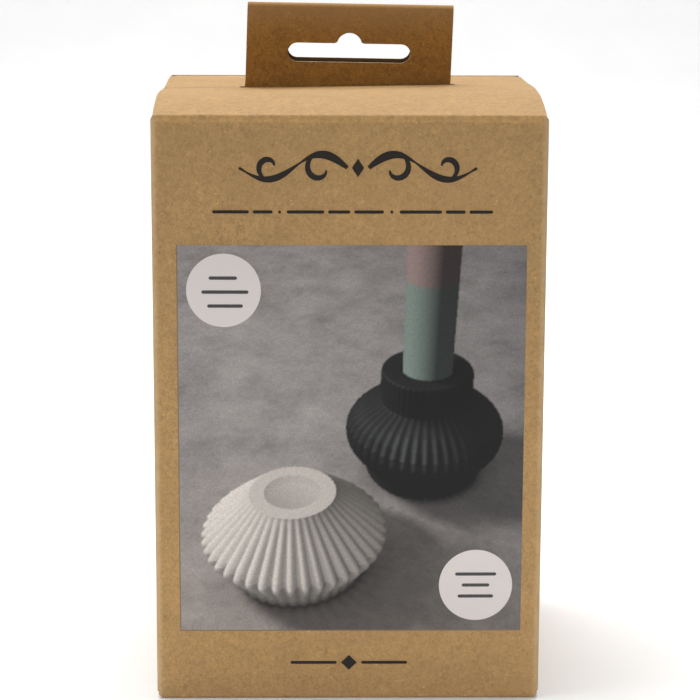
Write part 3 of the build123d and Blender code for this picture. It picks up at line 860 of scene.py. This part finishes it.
LOW = [(0, 17.1, 16.8), (3, 20.8, 19.6), (9, 28.2, 26.3), (15.5, 35.6, 33.2), (18.2, 37.2, 34.7), (20, 36.6, 34.2), (23, 34.2, 32.5), (27, 31.2, 30.0), (31, 29.3, 28.6), (33.01, 28.8, 28.3)]
TALL = [(0, 20.6, 20.1), (13.6, 20.9, 20.3), (15.6, 23.4, 22.5), (18.6, 29.2, 27.8), (22.6, 33.8, 32.0), (27, 36.3, 34.3), (31, 36.7, 34.7), (35, 35.6, 33.9), (39, 32.8, 31.5), (43, 29.9, 29.1), (48, 27.2, 26.6), (52.61, 24.4, 24.0)]
mould("low_holder_mould_body", "low_holder_mould", "low_mould", silicone_white, 42, LOW, 5.0, 33.0, 38.0, 42.4, 15.0)
mould("tall_holder_mould_body", "tall_holder_mould", "tall_mould", silicone_grey, 46, TALL, 5.0, 52.6, 38.4, 41.6, 20.0)


# ---------------------------------------------------------------- print on the front
def on_front(x, z, proud):
    """Points on the front's face, stood out by proud mm."""
    return np.stack([x, -hd - bulge(x, z) - proud, z], -1)


def flat_ink(name, loops, mat, proud, step=2.5):
    """A flat printed shape from outlines in (x, z), following the front's face."""
    xs = [p[0] for l in loops for p in l]
    zs = [p[1] for l in loops for p in l]
    cuts_x = [v for v in np.arange(-50, 50, step) if min(xs) < v < max(xs)]
    cuts_z = [v for v in np.arange(0, 150, step) if min(zs) < v < max(zs)]

    def place(a, b):
        N = np.tile(np.array([0.0, -1.0, 0.0]), (len(a), 1))
        return on_front(a, b, proud), N

    verts, faces, kinds = [], [], []
    for l in loops:
        pts, fs, rim = blank(l, [], cuts_x, cuts_z)
        P, N = place(pts[:, 0], pts[:, 1])
        f0 = fs[0]
        flip = np.dot(np.cross(P[f0[1]] - P[f0[0]], P[f0[2]] - P[f0[1]]), N[0]) < 0
        base = sum(len(v) for v in verts)
        verts.append(P)
        for f in fs:
            g = f[::-1] if flip else f
            faces.append([i + base for i in g])
            kinds.append(0)
    ob = mesh_object(name, np.vstack(verts) * MM, faces, [mat], kinds, sharp=60)
    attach(ob, "carton")
    return ob


def circle(cx, cz, r, n=96, wob=0.0):
    return [(cx + r * math.cos(t), cz + r * math.sin(t)) for t in np.linspace(0, 2 * math.pi, n, endpoint=False)]


def bar(x0, x1, z, h):
    r = h / 2
    return arc(x1 - r, z, r, -90, 90, 5) + arc(x0 + r, z, r, 90, 270, 5)


def ribbon(points, widths):
    """Outline of a brush stroke along points."""
    p = np.array(points, float)
    w = np.array(widths, float)
    d = np.gradient(p, axis=0)
    n = np.stack([-d[:, 1], d[:, 0]], -1) / np.maximum(np.linalg.norm(d, axis=1, keepdims=True), 1e-9)
    left, right = p + n * w[:, None] / 2, p - n * w[:, None] / 2
    return left, right


def strokes(name, lines, mat, proud):
    verts, faces = [], []
    base = 0
    for pts, w in lines:
        l, r = ribbon(pts, w)
        for side in (l, r):
            verts.append(on_front(side[:, 0], side[:, 1], proud))
        n = len(l)
        for i in range(n - 1):
            faces.append([base + i, base + n + i, base + n + i + 1, base + i + 1])
        base += 2 * n
        proud += 0.0015
    V = np.vstack(verts)
    f0 = faces[0]
    good = []
    for f in faces:
        nrm = np.cross(V[f[1]] - V[f[0]], V[f[2]] - V[f[1]]) + np.cross(V[f[2]] - V[f[1]], V[f[3]] - V[f[2]])
        good.append(f if nrm[1] < 0 else f[::-1])
    ob = mesh_object(name, V * MM, good, [mat], [0] * len(good), sharp=60)
    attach(ob, "carton")
    return ob


PX0, PX1, PZ0, PZ1 = -42.23, 43.60, 18.30, 117.10  # the printed picture, mm
NX, NZ = ((292, 338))


def picture_colours(nx, nz):
    """A still life worked out ray by ray: a low pale holder and a tall black one, with a candle, on concrete."""
    f, pitch, cx, cy = 756.6, 0.566, 363.3, 436.4
    ex, ey, ez = 27.4, -235.1, 206.3
    bx, by = 55.9, 64.6
    u = np.linspace(177.8, 525.4, nx)
    v = np.linspace(628.9, 246.9, nz)
    U, V = np.meshgrid(u, v)
    U, V = U.ravel(), V.ravel()
    cp, sp = math.cos(pitch), math.sin(pitch)
    D = np.stack([(U - cx) / f, cp - (V - cy) / f * sp, -sp - (V - cy) / f * cp], -1)
    D /= np.linalg.norm(D, axis=1, keepdims=True)
    O = np.array([ex, ey, ez])

    wz = np.array([-1, 0, 2, 6, 10, 13.4, 14.6, 15.6, 17.5, 24, 30, 32.6, 33.1, 40])
    wc = np.array([28.6, 28.8, 29.3, 31.2, 34.2, 36.8, 37.3, 37.2, 35.7, 28.2, 20.8, 17.6, 17.1, 17.0])
    wd = np.array([0.4, 0.6, 0.8, 1.3, 1.9, 2.6, 2.8, 2.8, 2.7, 2.1, 1.3, 0.6, 0.3, 0.3])
    kz = np.array([-1, 0, 2, 8.5, 11.0, 13.8, 18, 22, 26, 30, 34, 36.6, 37.8, 38.6, 50.6, 51.9, 52.6, 60])
    kc = np.array([25.2, 25.8, 27.2, 27.9, 30.4, 33.4, 36.0, 36.7, 36.2, 33.8, 29.2, 24.2, 21.6, 20.9, 20.7, 20.5, 19.8, 19.6])
    kd = np.array([0.3, 0.3, 0.4, 0.5, 0.9, 1.4, 2.0, 2.2, 2.2, 2.0, 1.6, 1.2, 0.9, 0.7, 0.7, 0.4, 0.1, 0.1])

    def fluted(p, x0, y0, zs, cs, ds, n, top, hole, deep, lead=0.0, soft=1.0):
        x, y, z = p[:, 0] - x0, p[:, 1] - y0, p[:, 2]
        r = np.hypot(x, y)
        th = np.arctan2(y, x)
        wave = (0.5 + 0.5 * np.cos(n * (th + lead))) ** 0.75
        rad = np.interp(z, zs, cs) - np.interp(z, zs, ds) * (soft * (1 - wave) + (1 - soft) * 0.35)
        side = r - rad
        d = np.maximum(side * 0.72, z - top)
        d = np.maximum(d, -np.maximum(r - hole, (top - deep) - z))
        return d, wave

    def world(p, need=False, soft_w=1.0, soft_k=1.0):
        w, ww = fluted(p, 0, 0, wz, wc, wd, 42, 33.1, 11.0, 3.4, 0.04, soft_w)
        k, kw = fluted(p, bx, by, kz, kc, kd, 46, 52.6, 11.6, 16.0, 0.0, soft_k)
        rc = np.hypot(p[:, 0] - bx, p[:, 1] - by)
        c = np.maximum(rc - 11.0, 36.0 - p[:, 2])
        g = p[:, 2]
        if need:
            return w, k, c, g, ww, kw
        return np.minimum(np.minimum(w, k), np.minimum(c, g))

    n = len(U)
    t = np.full(n, 120.0)
    live = np.arange(n)
    for _ in range(110):
        p = O + D[live] * t[live, None]
        d = world(p)
        t[live] += d * 0.85
        live = live[(d > 0.02) & (t[live] < 900)]
        if not len(live):
            break
    p = O + D * t[:, None]
    w, k, c, g, ww, kw = world(p, True)
    which = np.argmin(np.stack([w, k, c, g]), 0)
    e = 0.12
    nrm = np.stack([world(p + np.eye(3)[i] * e, False, 0.50, 0.40) - world(p - np.eye(3)[i] * e, False, 0.50, 0.40) for i in range(3)], -1)
    nrm /= np.maximum(np.linalg.norm(nrm, axis=1, keepdims=True), 1e-9)
    L = np.array([-0.80, 0.22, 0.56])
    L /= np.linalg.norm(L)
    lam = np.clip(nrm @ L, 0, 1)
    # soft shadow
    sh = np.ones(n)
    s = np.full(n, 1.2)
    q = p + nrm * 0.25
    live = np.arange(n)
    for _ in range(46):
        d = world(q[live] + L * s[live, None])
        sh[live] = np.minimum(sh[live], np.clip(3.2 * d / s[live] + 0.10, 0, 1))
        s[live] += np.clip(d, 0.6, 8.0)
        live = live[(s[live] < 130) & (sh[live] > 0.01)]
        if not len(live):
            break
    # the low holder's shadow fades out within its own width
    away = np.clip((np.hypot(p[:, 0], p[:, 1]) - 46) / 38, 0, 1) * np.clip((30 - p[:, 1]) / 16, 0, 1)
    sh = np.maximum(sh, np.where(which == 3, 0.62 * away, 0))
    sh = sh * sh * (3 - 2 * sh)
    # openness
    ao = np.ones(n)
    for r_, wt in ((1.0, 0.30), (3.0, 0.28), (8.0, 0.25), (18.0, 0.22)):
        ao -= wt * np.clip(1 - world(p + nrm * r_) / r_, 0, 1)
    ao = np.clip(ao, 0.12, 1)

    def value_noise(x, y, seed, octaves=5, gain=0.55):
        out, amp, tot = 0.0, 1.0, 0.0
        for o in range(octaves):
            g_ = np.random.default_rng(seed + o).random((64, 64))
            xi, yi = np.floor(x).astype(int), np.floor(y).astype(int)
            fx, fy = x - xi, y - yi
            fx, fy = fx * fx * (3 - 2 * fx), fy * fy * (3 - 2 * fy)
            a = g_[xi % 64, yi % 64] * (1 - fx) + g_[(xi + 1) % 64, yi % 64] * fx
            b = g_[xi % 64, (yi + 1) % 64] * (1 - fx) + g_[(xi + 1) % 64, (yi + 1) % 64] * fx
            out = out + amp * (a * (1 - fy) + b * fy)
            tot += amp
            amp *= gain
            x, y = x * 2.03 + 11.3, y * 2.03 + 5.7
        return out / tot

    X_, Y_ = p[:, 0], p[:, 1]
    slow = value_noise(X_ / 60 + 9, Y_ / 60 + 3, 3)
    mid = value_noise(X_ / 17 + 2, Y_ / 17 + 8, 21)
    fine = value_noise(X_ / 3.0, Y_ / 3.0, 40, 3)
    stone = 0.42 + 0.18 * (slow - 0.5) + 0.25 * (mid - 0.5) + 0.11 * (fine - 0.5)
    # hair cracks and a worn seam across the slab
    seam = np.exp(-(((Y_ - (-0.55 * (X_ - 20) + 78 + 10 * (value_noise(X_ / 14, X_ * 0 + 2, 5) - 0.5))) / 2.4) ** 2)) * np.clip((X_ - 5) / 20, 0, 1) * np.clip((62 - X_) / 20, 0, 1)
    stone = stone + 0.07 * seam
    for ax, ay, dx, dy, ln in ((-40, -18, 1.0, 0.16, 60), (-8, 62, 0.35, 1.0, 80), (10, -46, 1.0, 0.2, 70)):
        nn = math.hypot(dx, dy)
        tt = ((X_ - ax) * dx + (Y_ - ay) * dy) / nn
        dd = ((X_ - ax) * dy - (Y_ - ay) * dx) / nn + 3.0 * (value_noise(tt / 8 + 30, tt * 0 + 1, 77) - 0.5)
        stone = stone - 0.035 * np.exp(-((dd / 0.35) ** 2)) * (tt > 0) * (tt < ln)
    albedo = np.zeros((n, 3))
    gm, wm, km, cm = which == 3, which == 0, which == 1, which == 2
    albedo[gm] = stone[gm, None] * np.array([1.04, 0.955, 0.92])
    albedo[wm] = np.array([0.825, 0.757, 0.695])
    albedo[km] = np.array([0.034, 0.035, 0.034])
    zc = p[:, 2]
    mix_ = np.clip((zc - 92.4) / 1.6, 0, 1)[:, None]
    albedo = np.where(cm[:, None], np.array([0.40, 0.50, 0.445]) * (1 - mix_) + np.array([0.60, 0.43, 0.40]) * mix_, albedo)
    key, amb = 0.98, 0.30
    light = key * lam * sh * np.where(wm, 0.83, 1.0) + amb * ao * (0.75 + 0.25 * nrm[:, 2]) * np.where(wm, (1.0 + 1.30 * np.clip(-nrm[:, 1], 0, 1)) * (1.0 - 0.62 * np.clip(nrm[:, 0], 0, 1)), 1.0)
    # ribs: valleys hold shadow
    rib = np.where(wm, 0.84 + 0.16 * ww**0.6, np.where(km, 0.80 + 0.20 * kw, 1.0))
    r_w = np.hypot(X_, Y_)
    in_cup = wm & (r_w < 11.6)
    on_side = ((np.abs(nrm[:, 2]) < 0.93) | km) & ~in_cup
    light = light * np.where(on_side, rib, 1.0)
    # the cup is shallow and mostly lit by its own pale walls
    cup = 0.58 + 0.10 * np.clip(Y_ / 11.0, -1, 1) - 0.10 * np.clip(-X_ / 11.0, -1, 1)
    light = np.where(in_cup, np.where(zc < 33.0, cup * (0.93 + 0.07 * np.clip(nrm[:, 2], 0, 1)), light), light)
    light = np.where(cm, 0.068 + 0.62 * np.clip(nrm @ np.array([-0.93, -0.36, 0.1]) * 1.15 - 0.12, 0, 1) ** 1.15, light)
    col = albedo * light[:, None]
    # sheen on the black glaze
    view = -D
    hv = L + view
    hv /= np.linalg.norm(hv, axis=1, keepdims=True)
    front = np.array([0.12, -0.75, 0.65])
    hf = front / np.linalg.norm(front) + view
    hf /= np.linalg.norm(hf, axis=1, keepdims=True)
    shoulder = np.clip((zc - 19.0) / 5.0, 0, 1) * np.clip((39.0 - zc) / 4.0, 0, 1)
    ahead = np.clip(1 - np.abs(X_ - bx + 13.0) / 31.0, 0, 1)
    spec = 0.38 * np.clip(np.sum(nrm * hf, 1), 0, 1) ** 7 * kw**2.5 * shoulder * ahead + 0.10 * np.clip(np.sum(nrm * hv, 1), 0, 1) ** 12 * sh * (0.4 + 0.6 * kw)
    col = col + np.where(km[:, None], (spec * 0.55)[:, None] * np.array([0.95, 1.0, 1.0]), 0)
    # lens falloff, darker and cooler to the right and towards the bottom
    sx, sz = (U - 177.8) / 347.6, (628.9 - V) / 382.0
    fall = 1.0 - 0.50 * np.clip(sx - 0.35, 0, 1) ** 1.1 - 0.04 * np.clip(0.12 - sx, 0, 1) / 0.12 - 0.06 * np.clip(sz - 0.55, 0, 1) / 0.45
    fall = np.where(gm | wm, fall * np.where(gm, 0.87, 0.93), np.where(cm, 0.82, 0.80))
    col = col * fall[:, None]
    cool = np.clip((sx - 0.55) * 1.2, 0, 1)[:, None] * gm[:, None]
    col = col * (1 - cool * np.array([0.05, 0.01, -0.03]))
    warm = np.clip((0.45 - sz) / 0.45, 0, 1)[:, None] * gm[:, None]
    col = col * (1 + warm * np.array([0.14, 0.09, 0.03]))
    col = np.where(km[:, None], col * 0.60 - 0.001, col)
    # into the printed range: no deep black, no pure white
    col = np.clip(col, 0, 1)
    col = 0.012 + col * 0.93
    img = col.reshape(nz, nx, 3)
    # a slight softness, as print has
    pad = np.pad(img, ((1, 1), (1, 1), (0, 0)), mode="edge")
    blur = (pad[:-2, 1:-1] + pad[2:, 1:-1] + pad[1:-1, :-2] + pad[1:-1, 2:]) / 4
    img = img * 0.72 + blur * 0.28
    return img


PRINT_GAIN = 0.88
img = picture_colours(2 * NX, 2 * NZ).reshape(NZ, 2, NX, 2, 3).mean(axis=(1, 3))
gx_ = np.linspace(PX0, PX1, NX)
gz_ = np.linspace(PZ0, PZ1, NZ)
GX, GZ = np.meshgrid(gx_, gz_)
pv = on_front(GX.ravel(), GZ.ravel(), 0.035)
idx = np.arange(NX * NZ).reshape(NZ, NX)
quads = np.stack([idx[:-1, :-1], idx[:-1, 1:], idx[1:, 1:], idx[1:, :-1]], -1).reshape(-1, 4)
pme = bpy.data.meshes.new("front_picture")
pme.vertices.add(len(pv))
pme.vertices.foreach_set("co", (pv * MM).astype(np.float32).ravel())
pme.loops.add(quads.size)
pme.loops.foreach_set("vertex_index", quads.astype(np.int32).ravel())
pme.polygons.add(len(quads))
pme.polygons.foreach_set("loop_start", np.arange(0, quads.size, 4, dtype=np.int32))
pme.polygons.foreach_set("loop_total", np.full(len(quads), 4, np.int32))
pme.update(calc_edges=True)
pme.materials.append(picture_mat)
colours = pme.color_attributes.new("Col", "FLOAT_COLOR", "POINT")
rgba = np.ones((len(pv), 4), np.float32)
rgba[:, :3] = np.clip(img.reshape(-1, 3) * PRINT_GAIN, 0, 1)
colours.data.foreach_set("color", rgba.ravel())
pme.polygons.foreach_set("use_smooth", np.ones(len(pme.polygons), bool))
picture = bpy.data.objects.new("front_picture", pme)
bpy.context.scene.collection.objects.link(picture)
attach(picture, "carton")

# thin dark line under the picture's left and lower edges
flat_ink("picture_dark_edge_line", [[(PX0 - 0.28, PZ0 - 0.30), (PX1 + 0.02, PZ0 - 0.26), (PX1 + 0.02, PZ0 + 0.2), (PX0 + 0.2, PZ0 + 0.2), (PX0 + 0.2, PZ1 + 0.1), (PX0 - 0.26, PZ1 + 0.1)]], picture_edge_dark, 0.02)

# badges: two discs with plain bars
flat_ink("badge_upper", [circle(-30.95, 105.8, 9.2)], ink_badge, 0.055)
flat_ink("badge_upper_marks", [bar(-34.6, -27.6, 108.9, 0.85), bar(-36.4, -24.8, 105.4, 0.85), bar(-35.0, -26.2, 101.9, 0.85)], ink_badge_dark, 0.075)
flat_ink("badge_lower", [circle(32.1, 30.1, 9.25)], ink_badge, 0.055)
flat_ink("badge_lower_marks", [bar(26.9, 37.3, 33.0, 0.85), bar(28.6, 35.6, 30.1, 0.85), bar(27.6, 36.6, 27.2, 0.85)], ink_badge_dark, 0.075)

# where a title would stand: a plain symmetrical scroll
def scroll():
    lines = []
    zc = 136.2
    xc = 2.0
    for sgn in (-1, 1):
        t = np.linspace(0, 1, 140)
        x = xc + sgn * (2.6 + 26.4 * t)
        z = zc + 3.5 * np.sin(t * math.pi * 2.0) * (1 - 0.25 * t)
        w = 0.45 + 1.75 * np.abs(np.sin(t * math.pi * 2.0 + 0.4)) ** 1.3 * (1 - 0.45 * t)
        lines.append((np.stack([x, z], -1), w))
        # curls
        for c0, rr, start, turns, dirn in ((9.2, 3.9, 0.5, 1.05, -1), (21.6, 3.2, 1.5, 1.05, 1)):
            k = np.linspace(0, 1, 110)
            ang = math.pi * (start + dirn * turns * 1.35 * k)
            rad = rr * (1 - 0.62 * k)
            cx_ = xc + sgn * c0
            z0_ = zc + (-0.2 if dirn < 0 else 0.2)
            px = cx_ + sgn * rad * np.cos(ang)
            pz = z0_ + rad * np.sin(ang)
            lines.append((np.stack([px, pz], -1), 0.40 + 1.05 * np.sin(k * math.pi) ** 1.1))
    return lines


strokes("title_scroll", scroll(), ink_black, 0.03)
flat_ink("title_diamond", [[(2.0 - 1.5, 136.2), (2.0, 136.2 - 2.3), (2.0 + 1.5, 136.2), (2.0, 136.2 + 2.3)]], ink_black, 0.03)

# a fine greeked line in three runs
segs = [(-33.6, -24.6), (-23.7, -18.8), (-15.4, -6.2), (-5.3, 0.2), (1.1, 8.4), (12.2, 22.6), (23.5, 28.4), (29.3, 35.1)]
flat_ink("subtitle_bars", [bar(a, b, 125.35, 0.8) for a, b in segs] + [circle(-17.1, 125.35, 0.36, 20), circle(10.3, 125.35, 0.36, 20)], ink_black, 0.03)

# foot of the front: a plain rule with a lozenge
flat_ink("foot_rule", [bar(-14.6, -2.9, 9.6, 0.8), bar(3.3, 15.0, 9.6, 0.8), [(0.2 - 2.0, 9.6), (0.2, 9.6 - 2.0), (0.2 + 2.0, 9.6), (0.2, 9.6 + 2.0)]], ink_black, 0.03)

# ---------------------------------------------------------------- studio
floor_me = bpy.data.meshes.new("studio_floor")
fs = 5.0
ys = [-5.0, 0.9] + [0.9 + 0.5 * math.sin(a) for a in np.linspace(0, math.pi / 2, 14)[1:]]
zs = [0.0, 0.0] + [0.5 - 0.5 * math.cos(a) for a in np.linspace(0, math.pi / 2, 14)[1:]]
ys.append(ys[-1])
zs.append(2.4)
fv = [(x, y, z) for y, z in zip(ys, zs) for x in (-fs, fs)]
ff = [(2 * i, 2 * i + 1, 2 * i + 3, 2 * i + 2) for i in range(len(ys) - 1)]
floor_me.from_pydata(fv, [], ff)
floor_me.polygons.foreach_set("use_smooth", np.ones(len(floor_me.polygons), bool))
floor_me.update()
floor = bpy.data.objects.new("studio_floor", floor_me)
bpy.context.scene.collection.objects.link(floor)
fm = Nodes("studio_paper")
fn = fm.noise(fm.co.outputs["Object"], 30.0, 3.0)
fm.link(fm.mix(fm.remap(fn, 0.3, 0.7, 0.0, 1.0), (0.94, 0.94, 0.94), (0.97, 0.97, 0.97)), fm.p.inputs["Base Color"])
fm.p.inputs["Roughness"].default_value = 0.9
fm.link(fm.bump(fm.noise(fm.co.outputs["Object"], 900.0, 2.0), 0.05, 0.0002), fm.p.inputs["Normal"])
floor.data.materials.append(fm.mat)

world = bpy.data.worlds.new("studio")
bpy.context.scene.world = world
world.use_nodes = True
world.node_tree.nodes["Background"].inputs["Color"].default_value = (1.0, 1.0, 1.0, 1)
world.node_tree.nodes["Background"].inputs["Strength"].default_value = 0.22


def area(name, loc, target, size, power, colour=(1, 1, 1)):
    data = bpy.data.lights.new(name, "AREA")
    data.shape = "RECTANGLE"
    data.size, data.size_y = size
    data.energy = power
    data.color = colour
    ob = bpy.data.objects.new(name, data)
    ob.location = loc
    d = Vector(target) - Vector(loc)
    ob.rotation_euler = d.to_track_quat("-Z", "Y").to_euler()
    bpy.context.scene.collection.objects.link(ob)
    return ob


mid = (0, 0, 0.08)
area("top_softbox", (-0.10, 0.34, 1.05), mid, (1.2, 1.0), 19.0)
area("left_softbox", (-0.95, -0.35, 0.45), mid, (0.7, 0.9), 2.2, (1.0, 0.98, 0.95))
area("right_softbox", (0.95, -0.25, 0.45), mid, (0.7, 0.9), 1.2)
area("front_fill", (-0.25, -1.5, 0.55), mid, (1.2, 0.8), 0.9)
area("floor_bounce", (0.0, -0.175, 0.012), (0, -0.044, 0.030), (0.30, 0.02), 0.082)

cam_data = bpy.data.cameras.new("camera")
cam_data.sensor_fit = "HORIZONTAL"
cam_data.sensor_width = 36.0
cam_data.lens = 2591.855 / 700 * 36.0
cam_data.clip_start, cam_data.clip_end = 0.01, 20
cam = bpy.data.objects.new("camera", cam_data)
bpy.context.scene.collection.objects.link(cam)
pitch_, yaw_, roll_ = 0.21649, 0.01552, 0.00366
cp, sp, cyw, syw, cr, sr = math.cos(pitch_), math.sin(pitch_), math.cos(yaw_), math.sin(yaw_), math.cos(roll_), math.sin(roll_)
fwd = Vector((syw * cp, cyw * cp, -sp))
right = Vector((cyw, -syw, 0))
up = right.cross(fwd)
r2 = right * cr + up * sr
u2 = up * cr - right * sr
rot = Matrix((r2, u2, -fwd)).transposed().to_4x4()
cam.matrix_world = Matrix.Translation(Vector((-9.50923, -669.87269, 228.46346)) * MM) @ rot
bpy.context.scene.camera = cam
bpy.context.scene.view_settings.view_transform = "Standard"
bpy.context.scene.view_settings.look = "None"
